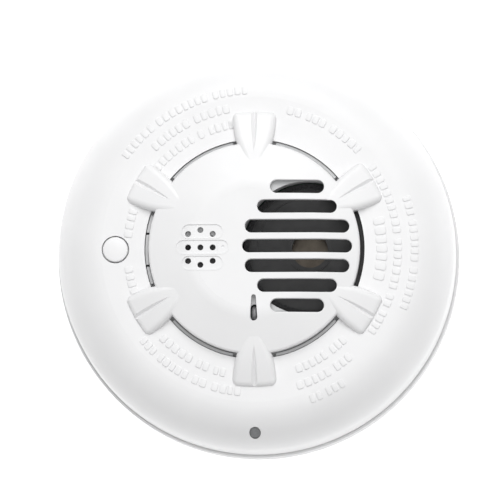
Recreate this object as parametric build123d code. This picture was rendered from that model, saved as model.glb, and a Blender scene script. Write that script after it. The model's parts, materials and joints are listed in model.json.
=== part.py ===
from build123d import *
import math
import os

# Carbon monoxide detector: a round head on a twist-lock mounting base.
# Millimetres. Z = 0 is the wall face of the base, +Z points out of the detector's face,
# +Y is up when the detector hangs on a wall. The Z axis is the axis of the case.

os.makedirs("parts", exist_ok=True)

# ---------------------------------------------------------------- driving dimensions
BASE_R = 67.5                 # outer radius of the mounting base
BASE_H = 11.6                 # height of the base's rim
BASE_FLOOR = 2.2              # thickness of the base's floor
BASE_WALL = 2.3
BASE_OPENING_R = 28.0         # round opening in the middle of the base
SCREW_PITCH = 83.0            # distance between two opposite wall screw slots
SCREW_SLOT_R = 2.15
SCREW_SLOT_L = 12.0

COVER_R = 66.6                # outer radius of the front cover at its rim
COVER_Z0 = 12.0               # lower edge of the front cover
FACE_R = 51.0                 # radius where the flat face ends and the roll starts
FACE_Z = 43.0                 # face height at FACE_R
WALL = 2.0
RING_R = 36.7                 # inner radius of the flat face, the outer side of the ring slot
RING_Z = 43.6

FACE_SLOPE = math.atan((RING_Z - FACE_Z) / (FACE_R - RING_R))
WALL_TAPER = 0.3              # the side wall leans in by this much up to the roll
ROLL_R = (COVER_R - WALL_TAPER - FACE_R) / (1 - math.sin(FACE_SLOPE))
ROLL_X = COVER_R - WALL_TAPER - ROLL_R     # centre of the rolled edge, radius and height
ROLL_Z = FACE_Z - ROLL_R * math.cos(FACE_SLOPE)

DOME_R = 35.2                 # outer radius of the raised centre
DOME_TOP = 50.8               # overall depth of the detector
DOME_FLAT_R = 20.0
DOME_EDGE_Z = 47.3
DOME_LIP_Z = 41.0             # lower edge of the raised centre's rim
DOME_LIP = 1.8
DOME_BEND = (23.5, 0.44)      # radius where the skirt starts, and its fall below the top
DOME_SKIRT_R = 34.5           # radius where the skirt meets the small edge radius
DOME_EDGE_FALL = 0.75
HOLLOW_Z = (45.2, 48.2, 48.6)     # heights of the hollow: at the rim, under the bend, in the middle
HOLLOW_BEND_R = 22.5

LUG_COUNT = 6
LUG_FIRST = 30.0              # angle of the first lug, degrees
LUG_END_R = 46.0
LUG_TOP = [(27.0, 49.1), (36.0, 47.45), (46.0, 44.3)]   # radius and height along the lug's top
LUG_SIDE = [(27.0, 2.8), (31.5, 4.5), (36.0, 6.1), (41.0, 7.1), (LUG_END_R, 7.75)]   # radius, half width
LUG_ROUND = 2.2               # rounding of the lug's upper edges
LUG_CORNER = 2.6              # rounding of its outer corners in plan
GROOVE_TIP_R = 32.0
GROOVE_TIP_Z = 48.3
GROOVE_FALL = 0.36            # fall of the groove's floor for each millimetre outwards

GRILLE_X = 14.4               # centre of the horn grille
GRILLE_Y = 0.5
GRILLE_PITCH = 6.6
GRILLE_SLOT = 4.4
GRILLE_HALF = [18.2, 17.3, 13.2, 8.9]   # half lengths, from the middle slot outwards

GAS_X = -17.7                 # middle column of the gas inlets
GAS_STEP = 4.1
GAS_HOLE_R = 1.0
POCKET_X = -17.1
POCKET_DEPTH = 0.25
POCKET_RIM = 0.1
GRILLE_EDGE = 0.3             # rounding of the grille's openings
GATE_X = -10.2                # small compartment at the end of the middle pocket
DIVIDER_X = -11.9
POCKET_H = 4.45
POCKETS = [(5.4, 13.5), (0.2, 17.2), (-5.1, 13.5)]   # centre height and length of each pocket

SLOT_TOP = (-16.45, 0.75)     # thermistor slot: centre height and radius of each end
SLOT_END = (-23.15, 1.25)

BUTTON_X = -46.4
BUTTON_R = 4.2
BUTTON_HOLE_R = 4.6
BUTTON_TOP = 43.9
PIPE_Y = -61.0
PIPE_R = 1.75
PIPE_HOLE_R = 1.9

BOSS_R = 58.0                 # circle of the four housing screws
BOSS_ANGLES = [45, 135, 225, 315]
BOSS_OUTER = 3.5
SCREW_R = 1.45
SCREW_TOP = 26.0

HUB_R = 48.0                  # drum on the back of the head, which goes into the base
HUB_Z = 6.0
HUB_FLOOR = 2.6
PLATE_Z = 12.4
PLATE_T = 2.0
HOUSING_R = 64.2
HOUSING_TOP = 24.0
LUG_Z = (6.4, 8.2)            # bayonet lugs of the head
BAYONET_R = 51.8
BAYONET_HALF = 8.0            # half width of a bayonet lug, degrees
HOOK_Z = (8.6, 10.4)          # ledge of the base's hooks
HOOK_R = (48.5, 52.4, 54.6)

BAY_X = 19.6                  # battery bay, half sizes inside
BAY_Y = 9.6
BAY_TOP = 25.4
BAY_WALL = 1.8
BATTERY_R = 8.5
BATTERY_HALF = 17.25
BATTERY_Z = 16.4
DOOR_T = 1.6
DOOR_GAP = 0.25
HINGE_Y = -11.4
HINGE_Z = 5.8
HINGE_R = 1.3
HINGE_PIN_R = 0.6
KNUCKLE = (8.2, 12.0)         # the housing's hinge knuckles, from the middle outwards

BOARD_R = 62.0
BOARD_Z = 28.0
BOARD_TOP = 29.6
BAFFLE_Z = 38.6               # outer flange of the liner
BAFFLE_TOP = 40.4
BAFFLE_R = 52.5
PLATFORM_R = 32.9             # raised middle of the liner, close under the cover
PLATFORM_WALL = 1.6
PLATFORM_GAP = 0.5            # space between the liner's middle and the cover
PLATFORM_ROOF = 1.7           # thickness of the liner's middle
LINER_POST_R = 50.0
LINER_POST_ANGLES = (25, 115, 205, 295)
THERMISTOR_HOLE = (5.5, 2.5)  # length and width of the liner's hole for the bead
BEAD_R = 2.4
SLOT_RIB = (35.5, 36.4)       # rib of the liner that stands in the ring slot
SLOT_RIB_TOP = 42.5
LUG_CLEAR = 11.5              # half angle that the rib leaves free round each lug
BEARING_Y = 7.8               # outer side of the blocks that hold the lever's pins

HORN_X = 18.3
HORN_COLLAR = (22.4, 23.4)    # liner wall round the horn
HORN_R = 22.0
HORN_CUP_TOP = 38.0
HORN_TOP = 40.2
HORN_MOUTH_R = 6.0
PIEZO_R = 17.5
PIEZO_Z = 34.0
CELL_X = -15.8
CELL_Y = -6.0
CELL_R = 10.0
GROMMET_R = 10.9
GROMMET_Z = (42.4, 43.8)
CELL_TOP = 45.6

LEVER_HINGE_X = -31.0
LEVER_END_X = -50.9
LEVER_HALF = 5.0
LEVER_GAP = 0.7
LEVER_STEP_X = -38.6          # the lever steps down here to pass under the button
LEVER_LOW = (36.2, 38.0)
SWITCH_X = -38.7              # half way between the lever's hinge and the button
SWITCH_TOP = 33.0
PLUNGER_TOP = 34.2
THERMISTOR_Y = -21.6


# ---------------------------------------------------------------- helpers
def save(shape, name):
    """Write one named piece."""
    export_step(shape, f"parts/{name}.step")


def lathe(points):
    """Turn a closed outline of (radius, height) points about the Z axis."""
    return revolve(Plane.XZ * make_face(Polyline(*points, close=True)), Axis.Z)


def lathe_edges(edges):
    """Turn a closed outline of joined edges in (radius, height) about the Z axis."""
    return revolve(Plane.XZ * make_face(edges), Axis.Z)


def disc(radius, low, high, x=0.0, y=0.0):
    """Upright cylinder between two heights."""
    return Pos(x, y, (low + high) / 2) * Cylinder(radius, high - low)


def block(x, y, z):
    """Box between two limits on each axis."""
    centre = Pos(sum(x) / 2, sum(y) / 2, sum(z) / 2)
    return centre * Box(x[1] - x[0], y[1] - y[0], z[1] - z[0])


def sector(inner, outer, start, end, low, high):
    """Part of a ring between two angles in degrees."""
    outline = [(inner, low), (outer, low), (outer, high), (inner, high)]
    face = Plane.XZ * make_face(Polyline(*outline, close=True))
    return Rot(0, 0, start) * revolve(face, Axis.Z, end - start)


def polar(radius, angle):
    """Point on a circle."""
    turn = math.radians(angle)
    return radius * math.cos(turn), radius * math.sin(turn)


def along_x(radius, low, high, y, z):
    """Cylinder lying along X between two limits."""
    return Pos((low + high) / 2, y, z) * Rot(0, 90, 0) * Cylinder(radius, high - low)


def along_y(radius, low, high, x, z):
    """Cylinder lying along Y between two limits."""
    return Pos(x, (low + high) / 2, z) * Rot(90, 0, 0) * Cylinder(radius, high - low)


# ---------------------------------------------------------------- front cover
def roll_arc(radius, drop=0.0):
    """Rolled edge, from the side wall up to where it meets the sloping face."""
    return CenterArc((ROLL_X, ROLL_Z - drop), radius, 0, 90 - math.degrees(FACE_SLOPE))


def cover_ring():
    """Side wall, rolled edge and flat face, up to the ring slot."""
    outer = roll_arc(ROLL_R)
    inner = roll_arc(ROLL_R - WALL)
    edges = [
        Line((COVER_R, COVER_Z0), outer @ 0),
        outer,
        Line(outer @ 1, (RING_R, RING_Z)),
        Line((RING_R, RING_Z), (RING_R, RING_Z - WALL)),
        Line((RING_R, RING_Z - WALL), inner @ 1),
        inner,
        Line(inner @ 0, (COVER_R - WALL, COVER_Z0)),
        Line((COVER_R - WALL, COVER_Z0), (COVER_R, COVER_Z0)),
    ]
    return lathe_edges(edges)


def dome_edges(drop):
    """Upper outline of the raised centre, lowered by drop."""
    top = DOME_TOP - drop
    flat = Line((0, top), (DOME_FLAT_R, top))
    bend_end = (DOME_BEND[0], top - DOME_BEND[1])
    skirt_end = (DOME_SKIRT_R, DOME_EDGE_Z - drop)
    rim = (DOME_R, DOME_EDGE_Z - DOME_EDGE_FALL - drop)
    bend = TangentArc((DOME_FLAT_R, top), bend_end, tangent=(1, 0))
    skirt = TangentArc(bend_end, skirt_end, tangent=bend % 1)
    edge = TangentArc(skirt_end, rim, tangent=skirt % 1)
    return [flat, bend, skirt, edge]


def dome_body(drop, low):
    """Solid under the raised centre's upper outline, down to a height."""
    edges = dome_edges(drop) + [
        Line((DOME_R, DOME_EDGE_Z - DOME_EDGE_FALL - drop), (DOME_R, low)),
        Line((DOME_R, low), (0, low)),
        Line((0, low), (0, DOME_TOP - drop)),
    ]
    return lathe_edges(edges)


def dome_hollow():
    """Space under the raised centre, inside its rim."""
    rim_r = DOME_R - DOME_LIP
    side_z, bend_z, mid_z = HOLLOW_Z
    return lathe([(0, 30), (rim_r, 30), (rim_r, side_z), (HOLLOW_BEND_R, bend_z), (0, mid_z)])


def lug():
    """One flared lug along +X that bridges the ring slot, with rounded upper edges."""
    root_r = LUG_TOP[0][0]
    mirrored = [(x, -y) for x, y in LUG_SIDE]
    ends = [Line(LUG_SIDE[-1], mirrored[-1]), Line(mirrored[0], LUG_SIDE[0])]
    edges = [Spline(*LUG_SIDE), Spline(*mirrored)] + ends
    plan = make_face(edges)
    plan = fillet(plan.vertices().group_by(Axis.X)[-1], LUG_CORNER)
    top = ThreePointArc(*LUG_TOP)
    under_top = lathe_edges([
        top,
        Line(top @ 1, (LUG_END_R, DOME_LIP_Z - 1)),
        Line((LUG_END_R, DOME_LIP_Z - 1), (root_r, DOME_LIP_Z - 1)),
        Line((root_r, DOME_LIP_Z - 1), top @ 0),
    ])
    body = Pos(0, 0, DOME_LIP_Z) * extrude(plan, 12) & under_top
    top_edges = body.faces().sort_by(Axis.Z)[-1].edges()
    outer_edges = top_edges.filter_by(lambda edge: edge.center().X > root_r + 0.5)
    return fillet(outer_edges, LUG_ROUND)


def lug_groove():
    """Tapering V groove that starts at a point on the lug and deepens to its outer end."""
    side = 4.0
    prism = Pos(0, 0, side / math.sqrt(2)) * Rot(45, 0, 0) * Box(40, side, side)
    tilt = math.degrees(math.atan(GROOVE_FALL))
    return Pos(GROOVE_TIP_R, 0, GROOVE_TIP_Z) * Rot(0, tilt, 0) * Pos(20, 0, 0) * prism


def grille_cuts():
    """Seven level obround openings in front of the horn."""
    cuts = []
    for row in range(-3, 4):
        length = 2 * GRILLE_HALF[abs(row)]
        place = Pos(GRILLE_X, GRILLE_Y + row * GRILLE_PITCH, 43)
        cuts.append(place * extrude(SlotOverall(length, GRILLE_SLOT), 12))
    return cuts


def gas_holes():
    """Nine gas inlets in three columns."""
    cuts = []
    for column in (-1, 0, 1):
        reach = 5.8 if column == 0 else 4.5
        for y in (-reach, 0, reach):
            cuts.append(disc(GAS_HOLE_R, 43, 55, GAS_X + column * GAS_STEP, y))
    return cuts


def pocket_cuts():
    """Shallow obround recesses around the gas inlets, of even depth below the curved face."""
    floor = dome_body(POCKET_DEPTH, 40)
    divider = block((DIVIDER_X - 0.15, DIVIDER_X + 0.15), (-3, 3), (40, 60))
    prisms = []
    for y, length in POCKETS:
        prisms.append(Pos(POCKET_X, y, 44) * extrude(SlotOverall(length, POCKET_H), 12) - floor - divider)
    prisms.append(disc(0.45, DOME_TOP - POCKET_DEPTH - 0.3, 55, GATE_X, POCKETS[1][0]))
    return prisms


def pocket_rims():
    """Fine raised outline of each recess."""
    limit = dome_body(-POCKET_RIM, 40)
    rims = []
    for y, length in POCKETS:
        outer = extrude(SlotOverall(length + 0.7, POCKET_H + 0.7), 12)
        inner = extrude(SlotOverall(length, POCKET_H), 12)
        rims.append((Pos(POCKET_X, y, 44) * (outer - inner) & limit) - dome_body(0.3, 40))
    return rims


def thermistor_cut():
    """Tapered slot in front of the thermistor."""
    ends = Pos(0, SLOT_TOP[0]) * Circle(SLOT_TOP[1]) + Pos(0, SLOT_END[0]) * Circle(SLOT_END[1])
    return Pos(0, 0, 43) * extrude(make_hull(ends.edges()), 12)


def screw_boss(x, y):
    """Hollow boss from the inside of the roll down to the back housing."""
    return disc(BOSS_OUTER, PLATE_Z + PLATE_T, 37.6, x, y)


def grille_block():
    """Raised centre as a solid block with the grille's openings cut and rounded."""
    body = dome_body(0, DOME_LIP_Z) - grille_cuts()
    walls = body.faces().filter_by(lambda face: abs(face.normal_at().Z) < 0.01)
    walls = walls.filter_by(lambda face: face.bounding_box().size.X < 2 * GRILLE_HALF[0])
    rims = walls.edges().filter_by(lambda edge: edge.bounding_box().min.Z > DOME_EDGE_Z - 2)
    return fillet(rims, GRILLE_EDGE)


def front_cover():
    one_lug = lug() - lug_groove()
    lugs = [Rot(0, 0, LUG_FIRST + 60 * index) * one_lug - grille_cuts() for index in range(LUG_COUNT)]
    body = grille_block() + lugs - dome_hollow() + cover_ring()
    body = body + pocket_rims()
    body = body - pocket_cuts() - gas_holes() - thermistor_cut()
    body = body - disc(BUTTON_HOLE_R, 38, 46, BUTTON_X)
    body = body - disc(PIPE_HOLE_R, 28, 45, 0, PIPE_Y)
    for angle in BOSS_ANGLES:
        x, y = polar(BOSS_R, angle)
        body = body + screw_boss(x, y) - disc(SCREW_R + 0.03, PLATE_Z, SCREW_TOP + 1, x, y)
    return body


# ---------------------------------------------------------------- mounting base
def base_rim():
    """Upright rim that stands on the base's floor."""
    outer = disc(BASE_R, BASE_FLOOR, BASE_H)
    outer = chamfer(outer.edges().sort_by(Axis.Z)[-1], 0.5)
    return outer - disc(BASE_R - BASE_WALL, 0, 20)


def mounting_base():
    """Floor of the base with its hooks, ribs and wall screw slots."""
    floor = disc(BASE_R, 0, BASE_FLOOR)
    floor = chamfer(floor.edges().sort_by(Axis.Z)[0], 0.5)
    body = floor + disc(BASE_OPENING_R + 1.6, 0, 3.6) - disc(BASE_OPENING_R, -1, 5)
    for angle in (0, 90, 180, 270):
        start = angle - BAYONET_HALF - 3.0
        end = angle + BAYONET_HALF
        post = sector(HOOK_R[1], HOOK_R[2], start, end, BASE_FLOOR - 0.5, HOOK_Z[1])
        ledge = sector(HOOK_R[0], HOOK_R[1] + 0.5, start, end, HOOK_Z[0], HOOK_Z[1])
        stop = sector(HOOK_R[0], HOOK_R[2], start, start + 2.4, BASE_FLOOR - 0.5, HOOK_Z[1])
        body = body + post + ledge + stop
        rib = block((HOOK_R[2] - 0.5, BASE_R - 1.0), (-0.8, 0.8), (BASE_FLOOR - 0.5, 6.0))
        if angle:
            body = body + Rot(0, 0, angle) * rib
        slot = extrude(SlotOverall(SCREW_SLOT_L, 2 * SCREW_SLOT_R), 10)
        body = body - Rot(0, 0, angle) * Pos(SCREW_PITCH / 2, 0, -2) * slot
    for side in (-1, 1):
        body = body + block((57.2, 61.8), (side * 5.9 - 0.7, side * 5.9 + 0.7), (BASE_FLOOR - 0.5, 5.6))
    return body - base_rim()


def tamper_magnet():
    return fillet(block((57.6, 61.4), (-5.0, 5.0), (BASE_FLOOR, 6.4)).edges(), 0.3)


# ---------------------------------------------------------------- back housing
def housing_shell():
    """Drum, plate and upright wall of the back housing."""
    inner_hub = HUB_R - 2.0
    inner_wall = HOUSING_R - 1.6
    plate_top = PLATE_Z + PLATE_T
    return lathe([
        (0, HUB_Z), (HUB_R, HUB_Z), (HUB_R, PLATE_Z), (HOUSING_R, PLATE_Z), (HOUSING_R, HOUSING_TOP),
        (inner_wall, HOUSING_TOP), (inner_wall, plate_top), (inner_hub, plate_top),
        (inner_hub, HUB_Z + HUB_FLOOR), (0, HUB_Z + HUB_FLOOR),
    ])


def hinge_knuckles():
    """Two knuckles for the battery door's pin, hung from the recess in the drum's floor."""
    knuckles = []
    for side in (-1, 1):
        low, high = sorted((side * KNUCKLE[0], side * KNUCKLE[1]))
        barrel = along_x(HINGE_R, low, high, HINGE_Y, HINGE_Z)
        neck = block((low, high), (HINGE_Y - HINGE_R, HINGE_Y + HINGE_R), (HINGE_Z, HUB_Z + 1.7))
        knuckles.append(barrel + neck)
    return knuckles


def housing_body():
    """The whole back of the head: drum, battery bay, posts, plate and wall."""
    bay_outer_x = BAY_X + BAY_WALL
    bay_outer_y = BAY_Y + BAY_WALL
    body = housing_shell()
    walls = block((-bay_outer_x, bay_outer_x), (-bay_outer_y, bay_outer_y), (HUB_Z + 1, BAY_TOP + 1.6))
    body = body + walls
    body = body - block((-BAY_X, BAY_X), (-BAY_Y, BAY_Y), (HUB_Z - 1, BAY_TOP))
    for side in (-1, 1):
        slot_x = sorted((side * (BAY_X - 0.7), side * (BAY_X + 0.05)))
        body = body - block(slot_x, (-2.3, 2.3), (BAY_TOP - 1, BAY_TOP + 3))
    for angle in range(30, 360, 60):
        x, y = polar(40.0, angle)
        body = body + disc(2.5, HUB_Z + 1, BOARD_Z, x, y)
    for angle in (0, 90, 180, 270):
        start = angle - BAYONET_HALF
        body = body + sector(HUB_R - 0.5, BAYONET_R, start, start + 2 * BAYONET_HALF, LUG_Z[0], LUG_Z[1])
    body = body - block((-12.4, 12.4), (-13.1, -BAY_Y + 0.5), (HUB_Z - 1, HUB_Z + 1.5))
    body = body - block((-5.0, 5.0), (BAY_Y - 0.5, 13.4), (HUB_Z - 1, HUB_Z + 1.5))
    body = body + hinge_knuckles()
    body = body - along_x(HINGE_PIN_R, -12.5, 12.5, HINGE_Y, HINGE_Z)
    for angle in BOSS_ANGLES:
        x, y = polar(BOSS_R, angle)
        body = body - disc(SCREW_R + 0.15, PLATE_Z - 1, PLATE_Z + PLATE_T + 1, x, y)
    return body


def drum_region():
    """Space that holds the drum, the battery bay and the posts, but not the plate."""
    return disc(HUB_R - 3.0, 0, BOARD_Z + 1) + disc(BAYONET_R + 1.0, 0, PLATE_Z)


def housing_drum():
    return housing_body() & drum_region()


def back_housing():
    return housing_body() - drum_region()


def housing_screws():
    """Four pan-head screws with a cross recess."""
    screws = []
    for angle in BOSS_ANGLES:
        x, y = polar(BOSS_R, angle)
        head = fillet(disc(2.8, PLATE_Z - 1.8, PLATE_Z, x, y).edges().sort_by(Axis.Z)[0], 0.7)
        cross = Pos(x, y, PLATE_Z - 1.8) * (Box(3.0, 0.7, 1.6) + Box(0.7, 3.0, 1.6))
        screws.append(head + disc(SCREW_R, PLATE_Z - 0.2, SCREW_TOP, x, y) - cross)
    return Compound(children=screws)


def rating_label():
    """Blank sticker on the back of the head."""
    return Pos(0, 20, HUB_Z - 0.2) * extrude(RectangleRounded(34, 9.6, 1.2), 0.2)


# ---------------------------------------------------------------- battery
def battery_door():
    """Plate that closes the battery bay, with a hinge barrel and a finger tab."""
    top = HUB_Z + DOOR_T
    plate = block((-BAY_X + DOOR_GAP, BAY_X - DOOR_GAP), (-BAY_Y + DOOR_GAP, BAY_Y - DOOR_GAP), (HUB_Z, top))
    reach = KNUCKLE[0] - 0.2
    barrel = along_x(HINGE_R, -reach, reach, HINGE_Y, HINGE_Z)
    arm = block((-reach, reach), (HINGE_Y, -BAY_Y + 1.0), (HINGE_Z - 0.6, HINGE_Z + 1.2))
    tab = block((-4.0, 4.0), (BAY_Y - 1.0, 12.4), (HUB_Z, HUB_Z + 1.1))
    body = plate + barrel + arm + tab
    for y in (2.4, 4.6, 6.8):
        body = body - block((-8.0, 8.0), (y - 0.5, y + 0.5), (HUB_Z - 1, HUB_Z + 0.4))
    return body - along_x(HINGE_PIN_R + 0.05, -10, 10, HINGE_Y, HINGE_Z)


def door_hinge_pin():
    return along_x(HINGE_PIN_R, -KNUCKLE[1], KNUCKLE[1], HINGE_Y, HINGE_Z)


def battery():
    """Cylindrical lithium cell with a raised positive end."""
    body = along_x(BATTERY_R, -BATTERY_HALF, BATTERY_HALF - 1.0, 0, BATTERY_Z)
    body = fillet(body.edges(), 0.6)
    return body + along_x(3.2, BATTERY_HALF - 1.5, BATTERY_HALF, 0, BATTERY_Z)


def contact_plate(side):
    """Flat plate at one end of the bay, with a tab that goes up to the board."""
    near, far = side * (BAY_X - 0.4), side * BAY_X
    faces = sorted((near, far))
    return block(faces, (-5.0, 5.0), (10.0, 25.0)) + block(faces, (-2.0, 2.0), (24.0, BOARD_Z))


def positive_contact():
    bump = Pos((BAY_X + BATTERY_HALF) / 2 - 0.1, 0, BATTERY_Z) * Rot(0, -90, 0)
    return contact_plate(1) + bump * Cone(3.4, 2.0, BAY_X - BATTERY_HALF - 0.2)


def negative_contact():
    """Contact with a sprung leaf bent towards the cell."""
    wall_x = -BAY_X + 0.4
    tip_x = -BATTERY_HALF
    leaf = [(wall_x, 23.0), (tip_x, BATTERY_Z + 1), (tip_x, BATTERY_Z - 1), (wall_x, 11.0),
            (wall_x, 11.6), (tip_x - 0.35, BATTERY_Z - 0.8), (tip_x - 0.35, BATTERY_Z + 0.8), (wall_x, 22.4)]
    strip = extrude(Plane.XZ * make_face(Polyline(*leaf, close=True)), 3.0, both=True)
    return contact_plate(-1) + strip


# ---------------------------------------------------------------- board and its parts
def circuit_board():
    body = disc(BOARD_R, BOARD_Z, BOARD_TOP)
    for angle in BOSS_ANGLES:
        x, y = polar(BOSS_R, angle)
        body = body - disc(BOSS_OUTER + 0.4, BOARD_Z - 1, BOARD_TOP + 1, x, y)
    return body


def chip(x, y, size_x, size_y, height, legs):
    """Flat chip package with a row of legs on two sides."""
    body = Pos(x, y, BOARD_TOP + 0.2 + height / 2) * Box(size_x, size_y, height)
    pitch = size_x / legs
    for index in range(legs):
        leg_x = x - size_x / 2 + pitch * (index + 0.5)
        for side in (-1, 1):
            leg_y = y + side * (size_y / 2 + 0.4)
            body = body + Pos(leg_x, leg_y, BOARD_TOP + 0.3) * Box(pitch * 0.45, 1.0, 0.6)
    return body


def microcontroller():
    return chip(-4.0, 37.0, 9.0, 7.0, 1.2, 8)


def radio_module():
    """Daughter board that carries the radio."""
    return block((-41.0, -25.0), (19.0, 33.0), (BOARD_TOP, BOARD_TOP + 0.8))


def radio_shield():
    """Tin can over the radio."""
    outer = block((-39.5, -26.5), (21.0, 31.0), (BOARD_TOP + 0.8, BOARD_TOP + 3.4))
    inner = block((-39.2, -26.8), (21.3, 30.7), (BOARD_TOP, BOARD_TOP + 3.1))
    return fillet(outer.edges().sort_by(Axis.Z)[-4:], 0.25) - inner


def antenna():
    """Wire antenna that follows the edge of the board."""
    height = BOARD_TOP + 3.5
    section = Plane.XZ * Pos(55.0, height) * Circle(0.5)
    loop = Rot(0, 0, 58) * revolve(section, Axis.Z, 55)
    foot_x, foot_y = polar(55.0, 113)
    return loop + disc(0.5, BOARD_TOP, height, foot_x, foot_y)


def chip_resistors():
    """Two rows of small surface-mounted parts."""
    pieces = []
    for column in range(6):
        for y in (-36.0, -40.0):
            x = -14 + column * 4.0
            pieces.append(block((x - 1.0, x + 1.0), (y - 0.65, y + 0.65), (BOARD_TOP, BOARD_TOP + 0.6)))
    return Compound(children=pieces)


def capacitor():
    """Electrolytic can with a rolled groove near its foot."""
    return Pos(40.0, -28.0, 0) * lathe([
        (0, BOARD_TOP), (3.2, BOARD_TOP), (3.2, 30.6), (2.9, 30.9), (2.9, 31.2), (3.2, 31.5),
        (3.2, 34.8), (2.9, 35.1), (0, 35.1),
    ])


def horn_transformer():
    """Wound coil between two flanges that steps up the horn's voltage."""
    return Pos(28.0, -36.0, 0) * lathe([
        (0, BOARD_TOP), (4.5, BOARD_TOP), (4.5, 30.6), (3.6, 30.6), (3.6, 34.4),
        (4.5, 34.4), (4.5, 35.4), (0, 35.4),
    ])


def reed_switch():
    """Glass reed above the magnet, with leads that rise to the board."""
    glass = fillet(along_y(1.2, -6.0, 6.0, 58.5, 16.2).edges(), 0.8)
    leads = []
    for side in (-1, 1):
        low, high = sorted((side * 5.5, side * 8.3))
        leads.append(along_y(0.3, low, high, 58.5, 16.2) + disc(0.3, 15.9, BOARD_Z, 58.5, side * 8.0))
    return glass + leads


def status_led():
    body = block((-1.5, 1.5), (-61.7, -58.9), (BOARD_TOP, BOARD_TOP + 1.0))
    return body + disc(1.1, BOARD_TOP + 0.9, BOARD_TOP + 1.4, 0, -60.4)


def light_pipe():
    """Clear rod from the LED to the hole in the roll; its end follows the cover's surface."""
    rod = disc(PIPE_R, BOARD_TOP + 1.6, 45, 0, PIPE_Y)
    dip = 0.6
    arc = roll_arc(ROLL_R, dip)
    top = (arc @ 1).Y
    under = lathe_edges([
        arc,
        Line(arc @ 1, (0, top)),
        Line((0, top), (0, (arc @ 0).Y)),
        Line((0, (arc @ 0).Y), arc @ 0),
    ])
    return rod & under


def thermistor():
    """Coated bead on two thin leads, seen through the tapered slot."""
    bead = Pos(0.2, THERMISTOR_Y, 45.25) * Rot(0, 90, 0) * Cylinder(BEAD_R, 1.9)
    bead = fillet(bead.edges(), 0.85)
    for offset in (-0.9, 0.9):
        bead = bead + disc(0.22, BOARD_TOP, 44.4, 0.2, THERMISTOR_Y + offset)
    return bead


# ---------------------------------------------------------------- inner baffle
def liner_roof(drop):
    """Outline of the liner's raised middle, lowered by drop: edge, bend and centre."""
    edge_z, bend_z, mid_z = [height - PLATFORM_GAP - drop for height in HOLLOW_Z]
    inset = drop * PLATFORM_WALL / PLATFORM_ROOF
    return [(PLATFORM_R - inset, edge_z), (HOLLOW_BEND_R - 0.3 - inset / 2, bend_z), (0, mid_z)]


def slot_rib():
    """Rib that rises into the ring slot between the lugs, so that nothing can be pushed far in."""
    rib = disc(SLOT_RIB[1], BAFFLE_TOP - 0.3, SLOT_RIB_TOP) - disc(SLOT_RIB[0], BAFFLE_TOP - 1, 50)
    for index in range(LUG_COUNT):
        middle = LUG_FIRST + 60 * index
        rib = rib - sector(30, 40, middle - LUG_CLEAR, middle + LUG_CLEAR, 38, 50)
    return rib


def lever_bearings():
    """Two blocks on the liner that hold the ends of the lever's pins."""
    blocks = []
    for side in (-1, 1):
        across = sorted((side * (LEVER_HALF + LEVER_GAP), side * BEARING_Y))
        blocks.append(block((-34.0, LEVER_HINGE_X + 1.6), across, (BAFFLE_Z, BAFFLE_TOP)))
    return blocks


def inner_baffle():
    """Light liner: a flange behind the face and a raised middle close under the raised centre."""
    inner_r = PLATFORM_R - PLATFORM_WALL
    under_side = list(reversed(liner_roof(PLATFORM_ROOF)))
    body = lathe([
        (BAFFLE_R, BAFFLE_Z), (BAFFLE_R, BAFFLE_TOP), (PLATFORM_R, BAFFLE_TOP),
        *liner_roof(0), *under_side, (inner_r, BAFFLE_Z),
    ])
    under_roof = lathe([(0, BAFFLE_Z), (inner_r + 0.1, BAFFLE_Z), *liner_roof(PLATFORM_ROOF - 0.1)])
    collar = disc(HORN_COLLAR[1], BAFFLE_Z, 50, HORN_X) - disc(HORN_COLLAR[0], 30, 55, HORN_X)
    body = body + (collar & under_roof) + slot_rib()
    for angle in LINER_POST_ANGLES:
        x, y = polar(LINER_POST_R, angle)
        body = body + disc(2.2, BOARD_TOP, BAFFLE_Z + 1, x, y)
    body = body - disc(HORN_COLLAR[0], 30, 55, HORN_X)
    body = body - disc(CELL_R + 0.3, 30, 55, CELL_X, CELL_Y)
    bead_hole = Rot(0, 0, 90) * extrude(SlotOverall(*THERMISTOR_HOLE), 25)
    body = body - Pos(0.2, THERMISTOR_Y, 30) * bead_hole
    opening_y = LEVER_HALF + LEVER_GAP
    opening_x = (-BAFFLE_R - 1, LEVER_HINGE_X + 1.4)
    body = body - block(opening_x, (-opening_y, opening_y), (30, SLOT_RIB_TOP + 0.5))
    body = body + lever_bearings()
    return body - along_y(0.65, -BEARING_Y - 1, BEARING_Y + 1, LEVER_HINGE_X, (BAFFLE_Z + BAFFLE_TOP) / 2)


# ---------------------------------------------------------------- horn
def horn_body():
    """Cup that stands on the board and carries the sounding disc on a ledge."""
    inner = HORN_R - 1.6
    cup = Pos(HORN_X, 0, 0) * lathe([
        (0, BOARD_TOP), (HORN_R, BOARD_TOP), (HORN_R, HORN_CUP_TOP), (inner, HORN_CUP_TOP),
        (inner, PIEZO_Z), (15.6, PIEZO_Z), (15.6, BOARD_TOP + 1.6), (0, BOARD_TOP + 1.6),
    ])
    for x in (-8.0, 0.0, 8.0):
        cup = cup - disc(0.9, BOARD_TOP - 1, BOARD_TOP + 3, HORN_X + x)
    return cup


def horn_cap():
    """Stepped cap with a round mouth and a short neck behind it."""
    return Pos(HORN_X, 0, 0) * lathe([
        (HORN_MOUTH_R, 35.6), (7.2, 35.6), (7.2, 37.6), (19.9, 37.6), (19.9, HORN_CUP_TOP),
        (HORN_R, HORN_CUP_TOP), (HORN_R, HORN_TOP), (20.0, HORN_TOP), (20.0, 39.5), (17.6, 39.5),
        (17.6, 38.9), (7.6, 38.9), (7.6, 39.4), (HORN_MOUTH_R, 39.4),
    ])


def horn_gasket():
    """Foam ring between the horn's cap and the cover."""
    return disc(21.8, HORN_TOP, DOME_LIP_Z - 0.1, HORN_X) - disc(20.3, HORN_TOP - 1, 50, HORN_X)


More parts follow.
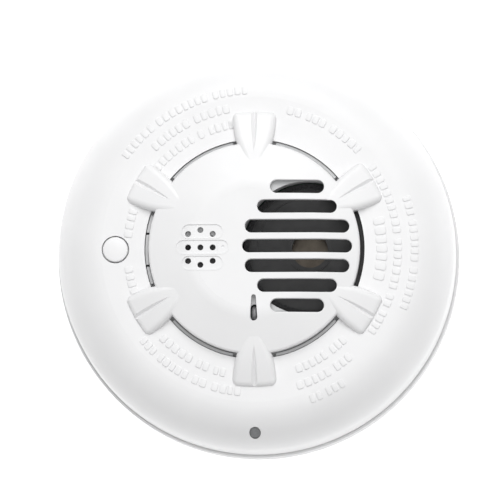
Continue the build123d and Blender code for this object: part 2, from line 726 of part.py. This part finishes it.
def piezo_disc():
    return disc(PIEZO_R, PIEZO_Z, PIEZO_Z + 0.3, HORN_X)


def piezo_ceramic():
    return disc(12.5, PIEZO_Z - 0.25, PIEZO_Z, HORN_X)


def horn_contacts():
    """Three sprung pins from the board to the sounding disc."""
    pins = []
    for x in (-8.0, 0.0, 8.0):
        low = disc(0.7, BOARD_TOP, BOARD_TOP + 2.4, HORN_X + x)
        pins.append(low + disc(0.4, BOARD_TOP + 2.0, PIEZO_Z - 0.25, HORN_X + x))
    return Compound(children=pins)


# ---------------------------------------------------------------- gas sensor
def co_sensor_cell():
    body = disc(CELL_R, BOARD_TOP + 0.6, CELL_TOP, CELL_X, CELL_Y)
    return fillet(body.edges(), 0.5)


def sensor_cap():
    """Cap with the cell's own gas inlet."""
    cap = disc(8.6, CELL_TOP, CELL_TOP + 1.1, CELL_X, CELL_Y)
    cap = fillet(cap.edges().sort_by(Axis.Z)[-1], 0.4)
    return cap - disc(1.4, CELL_TOP - 1, CELL_TOP + 3, CELL_X, CELL_Y)


def sensor_pins():
    pins = []
    for angle in (90, 210, 330):
        x, y = polar(6.0, angle)
        pins.append(disc(0.5, BOARD_TOP, BOARD_TOP + 0.6, CELL_X + x, CELL_Y + y))
    return Compound(children=pins)


def sensor_grommet():
    """Silicone ring that seals the cell below the liner's opening."""
    ring = disc(GROMMET_R, *GROMMET_Z, CELL_X, CELL_Y)
    ring = fillet(ring.edges().sort_by(Axis.Z)[-1], 0.3)
    return ring - disc(CELL_R + 0.05, GROMMET_Z[0] - 1, GROMMET_Z[1] + 1, CELL_X, CELL_Y)


# ---------------------------------------------------------------- test button
def test_button():
    """Round cap in the face, with a retaining flange and a rounded foot."""
    foot_r = 1.5
    foot = LEVER_LOW[1] + 0.05 + foot_r
    crown = ThreePointArc((0, BUTTON_TOP), (2.0, BUTTON_TOP - 0.06), (3.7, BUTTON_TOP - 0.25))
    outline = [
        crown,
        TangentArc((3.7, BUTTON_TOP - 0.25), (BUTTON_R, BUTTON_TOP - 0.75), tangent=crown % 1),
        Line((BUTTON_R, BUTTON_TOP - 0.75), (BUTTON_R, 40.75)),
        Line((BUTTON_R, 40.75), (5.2, 40.75)),
        Line((5.2, 40.75), (5.2, 39.8)),
        Line((5.2, 39.8), (foot_r, 39.8)),
        Line((foot_r, 39.8), (foot_r, foot)),
        CenterArc((0, foot), foot_r, 0, -90),
        Line((0, foot - foot_r), (0, BUTTON_TOP)),
    ]
    return Pos(BUTTON_X, 0, 0) * lathe_edges(outline)


def button_lever():
    """Stepped tongue, level with the liner at the ring slot, that passes the press to the switch."""
    width = (-LEVER_HALF, LEVER_HALF)
    riser_x = LEVER_STEP_X + 1.4
    root = block((LEVER_STEP_X, LEVER_HINGE_X + 0.9), width, (BAFFLE_Z, BAFFLE_TOP))
    riser = block((LEVER_STEP_X, riser_x), width, (LEVER_LOW[0], BAFFLE_TOP))
    paddle = block((LEVER_END_X, riser_x), width, LEVER_LOW)
    pins = along_y(0.6, -6.9, 6.9, LEVER_HINGE_X, (BAFFLE_Z + BAFFLE_TOP) / 2)
    post_r = 1.1
    post_end = PLUNGER_TOP + 0.05 + post_r
    post = disc(post_r, post_end, LEVER_LOW[0] + 0.5, SWITCH_X) + Pos(SWITCH_X, 0, post_end) * Sphere(post_r)
    tongue_rib = slot_rib() & block((-40, -30), width, (BAFFLE_TOP - 0.3, 50))
    return root + riser + paddle + pins + post + tongue_rib


def switch_body():
    """Tactile switch with a round well for its plunger."""
    body = block((SWITCH_X - 3, SWITCH_X + 3), (-3, 3), (BOARD_TOP, SWITCH_TOP))
    body = chamfer(body.edges().filter_by(Axis.Z), 0.4)
    return body - disc(1.75, SWITCH_TOP - 1.6, SWITCH_TOP + 1, SWITCH_X)


def switch_plunger():
    plunger = disc(1.68, SWITCH_TOP - 1.0, PLUNGER_TOP, SWITCH_X)
    return fillet(plunger.edges().sort_by(Axis.Z)[-1], 0.3)


# ---------------------------------------------------------------- write every piece
PIECES = {
    "mounting_base": mounting_base,
    "base_rim": base_rim,
    "tamper_magnet": tamper_magnet,
    "front_cover": front_cover,
    "back_housing": back_housing,
    "housing_drum": housing_drum,
    "housing_screws": housing_screws,
    "rating_label": rating_label,
    "battery_door": battery_door,
    "door_hinge_pin": door_hinge_pin,
    "battery": battery,
    "positive_contact": positive_contact,
    "negative_contact": negative_contact,
    "circuit_board": circuit_board,
    "microcontroller": microcontroller,
    "radio_module": radio_module,
    "radio_shield": radio_shield,
    "antenna": antenna,
    "chip_resistors": chip_resistors,
    "capacitor": capacitor,
    "horn_transformer": horn_transformer,
    "reed_switch": reed_switch,
    "status_led": status_led,
    "light_pipe": light_pipe,
    "thermistor": thermistor,
    "inner_baffle": inner_baffle,
    "horn_body": horn_body,
    "horn_cap": horn_cap,
    "horn_gasket": horn_gasket,
    "piezo_disc": piezo_disc,
    "piezo_ceramic": piezo_ceramic,
    "horn_contacts": horn_contacts,
    "co_sensor_cell": co_sensor_cell,
    "sensor_cap": sensor_cap,
    "sensor_pins": sensor_pins,
    "sensor_grommet": sensor_grommet,
    "test_button": test_button,
    "button_lever": button_lever,
    "switch_body": switch_body,
    "switch_plunger": switch_plunger,
}

for piece_name, make in PIECES.items():
    save(make(), piece_name)
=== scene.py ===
import bpy
import bmesh
import json
import math
import random
from mathutils import Matrix, Vector
from mathutils.bvhtree import BVHTree


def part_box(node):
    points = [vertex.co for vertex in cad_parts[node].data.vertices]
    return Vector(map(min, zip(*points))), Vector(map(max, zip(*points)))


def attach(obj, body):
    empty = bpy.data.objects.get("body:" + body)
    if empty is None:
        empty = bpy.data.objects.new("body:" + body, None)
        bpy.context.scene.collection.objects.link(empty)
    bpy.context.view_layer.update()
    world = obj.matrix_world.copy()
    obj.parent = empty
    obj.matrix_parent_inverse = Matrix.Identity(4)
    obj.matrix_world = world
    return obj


# Looks of a carbon monoxide detector round its CAD frame. Metres; +Z points out of the
# detector's face, +Y is up on a wall, and the floor is the plane that its base lies on.

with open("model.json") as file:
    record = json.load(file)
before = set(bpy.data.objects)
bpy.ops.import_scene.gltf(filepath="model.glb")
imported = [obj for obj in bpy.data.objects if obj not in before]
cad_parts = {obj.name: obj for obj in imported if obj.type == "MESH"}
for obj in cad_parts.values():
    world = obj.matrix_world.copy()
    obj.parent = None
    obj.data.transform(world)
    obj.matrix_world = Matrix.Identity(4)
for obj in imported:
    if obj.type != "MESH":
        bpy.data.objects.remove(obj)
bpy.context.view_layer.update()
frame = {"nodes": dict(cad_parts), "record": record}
NODES = frame["nodes"]
MM = 0.001
WAVE_PERIOD = 0.314           # spacing of the wave texture's rings at a scale of 1
SHADE_AND_DUST_REACH = 1.6              # how near a wall must be for the painted crevice shade and dust, in millimetres
SHADE_AND_DUST_TONE = 0.62             # brightness of the painted crevice shade and dust against the plastic


# ---------------------------------------------------------------- material helpers
class Maker:
    """One procedural material: noise, mixes and bumps in object coordinates, in millimetres."""

    def __init__(self, name, roughness, metallic=0.0, **sockets):
        self.material = bpy.data.materials.new(name)
        self.material.use_nodes = True
        self.tree = self.material.node_tree
        self.shader = self.tree.nodes["Principled BSDF"]
        self.shader.inputs["Roughness"].default_value = roughness
        self.shader.inputs["Metallic"].default_value = metallic
        for label, value in sockets.items():
            self.shader.inputs[label.replace("_", " ")].default_value = value
        self.coords = self.node("ShaderNodeTexCoord")
        self.height = None

    def node(self, kind, **values):
        made = self.tree.nodes.new(kind)
        for label, value in values.items():
            setattr(made, label, value)
        return made

    def link(self, output, target):
        self.tree.links.new(output, target)

    def place(self, centre=(0, 0, 0), stretch=(1, 1, 1)):
        """Object coordinates in millimetres, about a centre."""
        mapping = self.node("ShaderNodeMapping")
        mapping.inputs["Scale"].default_value = [s / MM for s in stretch]
        mapping.inputs["Location"].default_value = [-c * s / MM for c, s in zip(centre, stretch)]
        self.link(self.coords.outputs["Object"], mapping.inputs["Vector"])
        return mapping.outputs["Vector"]

    def noise(self, size, detail=2.0, stretch=(1, 1, 1)):
        """Noise whose features are about size millimetres across."""
        texture = self.node("ShaderNodeTexNoise")
        texture.inputs["Scale"].default_value = 1.0 / size
        texture.inputs["Detail"].default_value = detail
        self.link(self.place(stretch=stretch), texture.inputs["Vector"])
        return texture.outputs["Fac"]

    def cells(self, size):
        """Distance to the nearest of scattered points about size millimetres apart."""
        texture = self.node("ShaderNodeTexVoronoi")
        texture.inputs["Scale"].default_value = 1.0 / size
        self.link(self.place(), texture.inputs["Vector"])
        return texture.outputs["Distance"]

    def rings(self, centre, pitch):
        """Turning marks round an axis along Z."""
        texture = self.node("ShaderNodeTexWave", wave_type="RINGS", rings_direction="Z")
        texture.inputs["Scale"].default_value = WAVE_PERIOD / pitch
        texture.inputs["Distortion"].default_value = 0.4
        texture.inputs["Detail"].default_value = 1.0
        self.link(self.place(centre), texture.inputs["Vector"])
        return texture.outputs["Fac"]

    def span(self, value, low, high, start=0.0, end=1.0):
        """Rescale a value, clamped."""
        mapped = self.node("ShaderNodeMapRange")
        self.link(value, mapped.inputs["Value"])
        limits = {"From Min": low, "From Max": high, "To Min": start, "To Max": end}
        for label, number in limits.items():
            mapped.inputs[label].default_value = number
        return mapped.outputs["Result"]

    def mix(self, factor, first, second):
        """Blend two colours; each is a triple or an output."""
        mixed = self.node("ShaderNodeMix", data_type="RGBA")
        self.link(factor, mixed.inputs["Factor"])
        for value, socket in ((first, mixed.inputs["A"]), (second, mixed.inputs["B"])):
            if isinstance(value, tuple):
                socket.default_value = (*value, 1.0)
            else:
                self.link(value, socket)
        return mixed.outputs["Result"]

    def colour(self, value):
        self.link(value, self.shader.inputs["Base Color"])

    def roughness(self, value, low, high):
        self.link(self.span(value, 0.25, 0.75, low, high), self.shader.inputs["Roughness"])

    def bump(self, value, depth):
        """Add relief of a depth in millimetres."""
        made = self.node("ShaderNodeBump")
        made.inputs["Distance"].default_value = depth * MM
        made.inputs["Strength"].default_value = 1.0
        self.link(value, made.inputs["Height"])
        if self.height:
            self.link(self.height, made.inputs["Normal"])
        self.height = made.outputs["Normal"]
        self.link(self.height, self.shader.inputs["Normal"])

    def crevice(self, reach):
        """How enclosed a point is, from 0 in a crevice to 1 in the open."""
        made = self.node("ShaderNodeAmbientOcclusion", samples=8)
        made.inputs["Distance"].default_value = reach * MM
        return made.outputs["AO"]


def scaled(colour, amount):
    return tuple(min(1.0, channel * amount) for channel in colour)


def moulded(name, colour, roughness=0.42, grain=0.35, depth=0.012, shade_and_dust=0.0, **sockets):
    """Moulded plastic with a fine grain, faint mottling and, where asked, painted shade with patchy
    dust in its corners.
    """
    made = Maker(name, roughness, **sockets)
    mottle = made.span(made.noise(14.0, 3.0), 0.3, 0.7)
    base = made.mix(mottle, scaled(colour, 0.985), scaled(colour, 1.012))
    # Painted shade: ambient occlusion darkens the colour in crevices and corners, broken into
    # patches by noise like dust.
    if shade_and_dust:
        enclosed = made.span(made.crevice(SHADE_AND_DUST_REACH), 0.35, 0.95, 1.0, 0.0)
        shade_and_dust_mask = made.node("ShaderNodeMath", operation="MULTIPLY")
        made.link(enclosed, shade_and_dust_mask.inputs[0])
        made.link(made.span(made.noise(3.0, 2.0), 0.2, 0.8, 0.55 * shade_and_dust, shade_and_dust), shade_and_dust_mask.inputs[1])
        base = made.mix(shade_and_dust_mask.outputs["Value"], base, scaled(colour, SHADE_AND_DUST_TONE))
    made.colour(base)
    made.roughness(made.noise(2.2, 2.0), roughness - 0.05, roughness + 0.06)
    made.bump(made.noise(grain, 2.0), depth)
    return made.material


def metal(name, colour, roughness=0.3, stretch=(1, 1, 1), scratch=0.4):
    """Metal with a rolled or drawn grain and light tarnish."""
    made = Maker(name, roughness, metallic=1.0)
    tarnish = made.span(made.noise(5.0, 4.0), 0.35, 0.7)
    made.colour(made.mix(tarnish, colour, scaled(colour, 0.78)))
    grain = made.noise(scratch, 2.0, stretch)
    made.roughness(grain, roughness - 0.08, roughness + 0.12)
    made.bump(grain, 0.006)
    return made.material


# ---------------------------------------------------------------- materials
def brass_disc():
    """Rolled brass of the sounding disc, with turning marks and brown tarnish, both of its tones
    darkened as painted shade.
    """
    low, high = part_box("piezo_disc")
    made = Maker("brass_disc", 0.38, metallic=1.0)
    # Painted shade: the brass is coloured as dark as it looks deep inside the horn, not as bright
    # brass; the noise between the two tones is tarnish.
    shaded_tarnish = made.span(made.noise(3.5, 4.0), 0.3, 0.75)
    made.colour(made.mix(shaded_tarnish, (0.105, 0.092, 0.076), (0.066, 0.057, 0.048)))
    lines = made.rings((low + high) / 2, 0.35)
    made.roughness(lines, 0.4, 0.56)
    made.bump(lines, 0.008)
    return made.material


def solder_mask():
    """Green board with copper tracks that show through the mask."""
    made = Maker("board", 0.3, Coat_Weight=0.4)
    tracks = made.node("ShaderNodeTexBrick", offset=0.37, squash=0.6)
    tracks.inputs["Scale"].default_value = 0.22
    tracks.inputs["Mortar Size"].default_value = 0.03
    tracks.inputs["Brick Width"].default_value = 1.9
    tracks.inputs["Row Height"].default_value = 0.4
    made.link(made.place(), tracks.inputs["Vector"])
    ground = made.span(made.noise(9.0, 3.0), 0.3, 0.7)
    mask = made.mix(ground, (0.012, 0.13, 0.045), (0.018, 0.17, 0.06))
    made.colour(made.mix(tracks.outputs["Fac"], mask, (0.05, 0.3, 0.1)))
    made.bump(tracks.outputs["Fac"], 0.03)
    return made.material


def foam():
    """Open-cell black foam."""
    made = Maker("foam", 0.9)
    pores = made.cells(0.45)
    made.colour(made.mix(made.span(pores, 0.1, 0.6), (0.008, 0.008, 0.008), (0.035, 0.035, 0.037)))
    made.bump(pores, 0.15)
    return made.material


def shrink_wrap():
    """Printed battery sleeve in two plain bands, with a fine seam of wrinkles."""
    low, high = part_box("battery")
    made = Maker("battery_sleeve", 0.25, Coat_Weight=0.5)
    split = made.node("ShaderNodeSeparateXYZ")
    made.link(made.place((low + high) / 2), split.inputs["Vector"])
    half = (high.x - low.x) / 2 / MM
    band = made.span(split.outputs["X"], half * 0.42, half * 0.44)
    made.colour(made.mix(band, (0.03, 0.07, 0.2), (0.62, 0.63, 0.65)))
    creases = made.noise(1.2, 3.0, (0.15, 1, 1))
    made.roughness(creases, 0.2, 0.34)
    made.bump(creases, 0.03)
    return made.material


def foil_label():
    """Blank foil sticker with a faint rolled sheen."""
    made = Maker("foil_label", 0.34, metallic=0.35)
    streaks = made.noise(0.5, 2.0, (0.05, 1, 1))
    made.colour(made.mix(made.span(streaks, 0.3, 0.7), (0.68, 0.69, 0.7), (0.78, 0.79, 0.8)))
    made.roughness(streaks, 0.28, 0.42)
    made.bump(streaks, 0.004)
    return made.material


def light_pipe():
    """Smoky translucent rod, finely frosted at its end."""
    made = Maker("light_pipe", 0.28, Coat_Weight=0.5)
    cloud = made.span(made.noise(1.4, 3.0), 0.3, 0.7)
    made.colour(made.mix(cloud, (0.17, 0.175, 0.18), (0.24, 0.245, 0.25)))
    made.bump(made.noise(0.25, 2.0), 0.02)
    return made.material


def reed_glass():
    """Glass tube with a slightly green, wavy wall."""
    made = Maker("reed_glass", 0.06, Transmission_Weight=0.85)
    cloud = made.span(made.noise(2.0), 0.3, 0.7)
    made.colour(made.mix(cloud, (0.75, 0.9, 0.8), (0.85, 0.95, 0.88)))
    made.bump(made.noise(1.5, 1.0), 0.03)
    return made.material


WHITE = (0.80, 0.80, 0.805)
GREY = (0.58, 0.585, 0.59)
BLACK = (0.012, 0.012, 0.013)

MATERIALS = {
    "cover_white": lambda: moulded("cover_plastic", WHITE, 0.42, shade_and_dust=0.08),
    "button_white": lambda: moulded("button_plastic", WHITE, 0.34, grain=0.5, depth=0.006,
                                    shade_and_dust=0.08),
    "base_white": lambda: moulded("base_plastic", scaled(WHITE, 0.97), 0.45, shade_and_dust=0.2),
    "housing_white": lambda: moulded("housing_plastic", scaled(WHITE, 0.95), 0.48, shade_and_dust=0.2),
    "liner_grey": lambda: moulded("liner_plastic", GREY, 0.55, grain=0.5, depth=0.02, shade_and_dust=0.1),
    "horn_black": lambda: moulded("horn_plastic", BLACK, 0.5, grain=0.4, depth=0.02),
    "foam_black": foam,
    "brass": brass_disc,
    "ceramic": lambda: moulded("silvered_ceramic", (0.6, 0.59, 0.56), 0.5, grain=0.2, depth=0.01),
    "tin": lambda: metal("tin_plate", (0.7, 0.69, 0.66), 0.32, (0.2, 1, 1)),
    "steel": lambda: metal("zinc_plated_steel", (0.56, 0.56, 0.57), 0.36),
    "cell_black": lambda: moulded("cell_plastic", BLACK, 0.4, grain=0.3, depth=0.01),
    "silicone_grey": lambda: moulded("silicone", scaled(GREY, 0.95), 0.7, grain=0.8, depth=0.01),
    "board_green": solder_mask,
    "chip_black": lambda: moulded("chip_epoxy", (0.03, 0.03, 0.032), 0.6, grain=0.15, depth=0.01),
    "can_silver": lambda: metal("drawn_aluminium", (0.78, 0.79, 0.8), 0.3, (1, 1, 0.15)),
    "copper": lambda: metal("copper_wire", (0.72, 0.36, 0.2), 0.28, (0.3, 0.3, 1)),
    "coil_black": lambda: moulded("coil_varnish", (0.05, 0.03, 0.025), 0.25, grain=0.3, depth=0.05),
    "reed_glass": reed_glass,
    "magnet_nickel": lambda: metal("nickel", (0.66, 0.64, 0.6), 0.18),
    "battery_wrap": shrink_wrap,
    "label_silver": foil_label,
    "led_lens": lambda: moulded("led_epoxy", (0.75, 0.75, 0.72), 0.2, grain=0.5, depth=0.004),
    "pipe_clear": light_pipe,
    "bead_grey": lambda: moulded("bead_epoxy", (0.24, 0.24, 0.245), 0.3, grain=0.6, depth=0.03),
    "switch_black": lambda: moulded("switch_plastic", (0.03, 0.03, 0.03), 0.5, grain=0.3,
                                    depth=0.01),
    "plunger_white": lambda: moulded("plunger_plastic", (0.7, 0.7, 0.68), 0.35, grain=0.3,
                                     depth=0.006),
}


def finish_nodes():
    """Give every CAD node the procedural material of its slot."""
    made = {slot: make() for slot, make in MATERIALS.items()}
    for part in frame["record"]["subparts"]:
        for holder in NODES[part["node"]].material_slots:
            holder.material = made[part["material_slot"]]
    return made


# ---------------------------------------------------------------- raised marks on the face
MARK_LIFT = 0.3 * MM
MARK_SINK = 0.25 * MM
MARK_GAP = 0.55 * MM
WORD_GAP = 1.9 * MM
CAP = 2.9 * MM
BLOCK_WIDTHS = (1.6, 2.35)    # narrowest and widest block, in millimetres
BLOCK_CORNER = 0.3            # corner rounding as a share of a block's shorter side
BLOCK_SEED = 7

# Inset from a block's outline and height above the face, from its sunken foot to its top.
BLOCK_LEVELS = (
    (0.0, -MARK_SINK),
    (0.0, MARK_LIFT * 0.55),
    (0.07 * MM, MARK_LIFT * 0.9),
    (0.2 * MM, MARK_LIFT),
)

# Radius in millimetres, middle angle in degrees, blocks in each group, height factor.
LEGENDS = [
    (42.4, 120.0, (7, 1, 4), 1.0),
    (47.8, 117.5, (6, 5), 1.0),
    (53.4, 118.5, (6, 8, 5), 1.0),
    (47.8, 60.0, (2, 3, 5), 1.0),
    (42.4, 0.0, (7,), 1.3),
    (47.8, 0.0, (10, 7, 2, 4), 0.95),
    (53.4, -1.5, (3, 6, 6), 0.95),
    (42.4, 168.0, (4,), 1.0),
    (42.4, 194.0, (4,), 1.0),
    (42.4, 240.0, (2, 2, 5), 1.0),
    (47.8, 241.5, (4, 2, 5, 3), 1.0),
    (42.4, -58.0, (3, 5), 1.0),
    (47.8, -60.5, (3, 5), 1.0),
    (53.4, -63.0, (3, 2), 1.0),
]


def rounded_rectangle(width, height, corner, steps=3):
    """Outline points of a rounded rectangle about the origin."""
    points = []
    for index in range(4):
        start = index * math.pi / 2
        side_x = 1 if index in (0, 3) else -1
        side_y = 1 if index in (0, 1) else -1
        centre = Vector((side_x * (width / 2 - corner), side_y * (height / 2 - corner)))
        for step in range(steps + 1):
            turn = start + step * math.pi / 2 / steps
            points.append(centre + corner * Vector((math.cos(turn), math.sin(turn))))
    return points


def surface_height(tree, x, y):
    """Height of the cover at a place on its face."""
    hit = tree.ray_cast(Vector((x, y, 1.0)), Vector((0, 0, -1)))[0]
    return hit.z


def add_block(mesh, tree, radius, angle, width, height):
    """One small raised block, following the face below it, with softened upper edges."""
    rings = []
    corner = min(width, height) * BLOCK_CORNER
    for inset, lift in BLOCK_LEVELS:
        rounding = max(corner - inset, 0.05 * MM)
        outline = rounded_rectangle(width - 2 * inset, height - 2 * inset, rounding)
        ring = []
        for point in outline:
            turn = angle - point.x / radius
            reach = radius + point.y
            x, y = reach * math.cos(turn), reach * math.sin(turn)
            ring.append(mesh.verts.new((x, y, surface_height(tree, x, y) + lift)))
        rings.append(ring)
    for low, high in zip(rings, rings[1:]):
        count = len(low)
        for index in range(count):
            after = (index + 1) % count
            mesh.faces.new((low[index], low[after], high[after], high[index]))
    mesh.faces.new(rings[-1])
    mesh.faces.new(list(reversed(rings[0])))


def raised_marks():
    """Rows of plain raised blocks where the real cover has moulded lettering."""
    cover = NODES["front_cover"]
    tree = BVHTree.FromObject(cover, bpy.context.evaluated_depsgraph_get())
    mesh = bmesh.new()
    rng = random.Random(BLOCK_SEED)
    for radius_mm, middle, words, factor in LEGENDS:
        radius = radius_mm * MM
        height = CAP * factor
        widths = [[rng.uniform(*BLOCK_WIDTHS) * MM * factor for _ in range(count)]
                  for count in words]
        word_lengths = [sum(word) + MARK_GAP * (len(word) - 1) for word in widths]
        total = sum(word_lengths) + WORD_GAP * (len(words) - 1)
        along = -total / 2
        for word in widths:
            for width in word:
                angle = math.radians(middle) - (along + width / 2) / radius
                add_block(mesh, tree, radius, angle, width, height)
                along += width + MARK_GAP
            along += WORD_GAP - MARK_GAP
    bmesh.ops.recalc_face_normals(mesh, faces=mesh.faces)
    data = bpy.data.meshes.new("raised_marks")
    mesh.to_mesh(data)
    mesh.free()
    for face in data.polygons:
        face.use_smooth = True
    marks = bpy.data.objects.new("raised_marks", data)
    bpy.context.scene.collection.objects.link(marks)
    return marks


# ---------------------------------------------------------------- studio
FLOOR_SIZE = 60.0
FLOOR_DROP = 0.0002           # how far the floor lies below the base
FLOOR_GLOW = 0.62             # keeps the floor pure white round the shadow
SURROUNDINGS = 0.36           # brightness of the surroundings


def aim(target_object, place, target, up):
    """Point an object's -Z axis at a target, with its +Y axis towards up."""
    back = (place - target).normalized()
    right = up.cross(back).normalized()
    above = back.cross(right)
    turn = Matrix((right, above, back)).transposed().to_4x4()
    target_object.matrix_world = Matrix.Translation(place) @ turn


def camera():
    """Long lens, a few degrees off the detector's axis, from its lower right."""
    tilt = math.radians(5.6)
    side = math.radians(-64.0)
    distance = 3.0
    field = 0.1665  # width of the view at the detector
    centre = Vector((-0.0015, -0.0003, 0.0432))
    lean = math.sin(tilt)
    away = Vector((lean * math.cos(side), lean * math.sin(side), math.cos(tilt)))
    data = bpy.data.cameras.new("camera")
    data.sensor_width = 36.0
    data.lens = data.sensor_width * distance / field
    data.clip_start = 0.1
    data.clip_end = 100.0
    made = bpy.data.objects.new("camera", data)
    bpy.context.scene.collection.objects.link(made)
    aim(made, centre + away * distance, centre, Vector((0, 1, 0)))
    bpy.context.scene.camera = made


def area_light(name, place, size, power, target=(0, 0, 0.03)):
    data = bpy.data.lights.new(name, "AREA")
    data.shape = "DISK"
    data.size = size
    data.energy = power
    made = bpy.data.objects.new(name, data)
    bpy.context.scene.collection.objects.link(made)
    aim(made, Vector(place), Vector(target), Vector((0.1, 1, 0.1)))


def studio():
    """White floor, pale surroundings and two large soft lights."""
    bpy.ops.mesh.primitive_plane_add(size=FLOOR_SIZE, location=(0, 0, -FLOOR_DROP))
    floor = bpy.context.object
    floor.name = "floor"
    made = Maker("floor_paper", 0.9)
    made.colour(made.mix(made.noise(400.0, 1.0), (0.9, 0.9, 0.9), (0.93, 0.93, 0.93)))
    made.shader.inputs["Emission Color"].default_value = (1, 1, 1, 1)
    made.shader.inputs["Emission Strength"].default_value = FLOOR_GLOW
    floor.data.materials.append(made.material)
    world = bpy.data.worlds.new("surroundings")
    bpy.context.scene.world = world
    world.use_nodes = True
    background = world.node_tree.nodes["Background"]
    background.inputs["Color"].default_value = (1, 1, 1, 1)
    background.inputs["Strength"].default_value = SURROUNDINGS
    area_light("key", (0.06, 1.25, 1.8), 1.6, 29.0)
    area_light("fill", (0.25, -0.15, 2.2), 1.8, 15.5)
    bpy.context.scene.view_settings.view_transform = "Standard"


# ---------------------------------------------------------------- build
looks = finish_nodes()
marks = raised_marks()
marks.data.materials.append(looks["cover_white"])
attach(marks, "head")
camera()
studio()
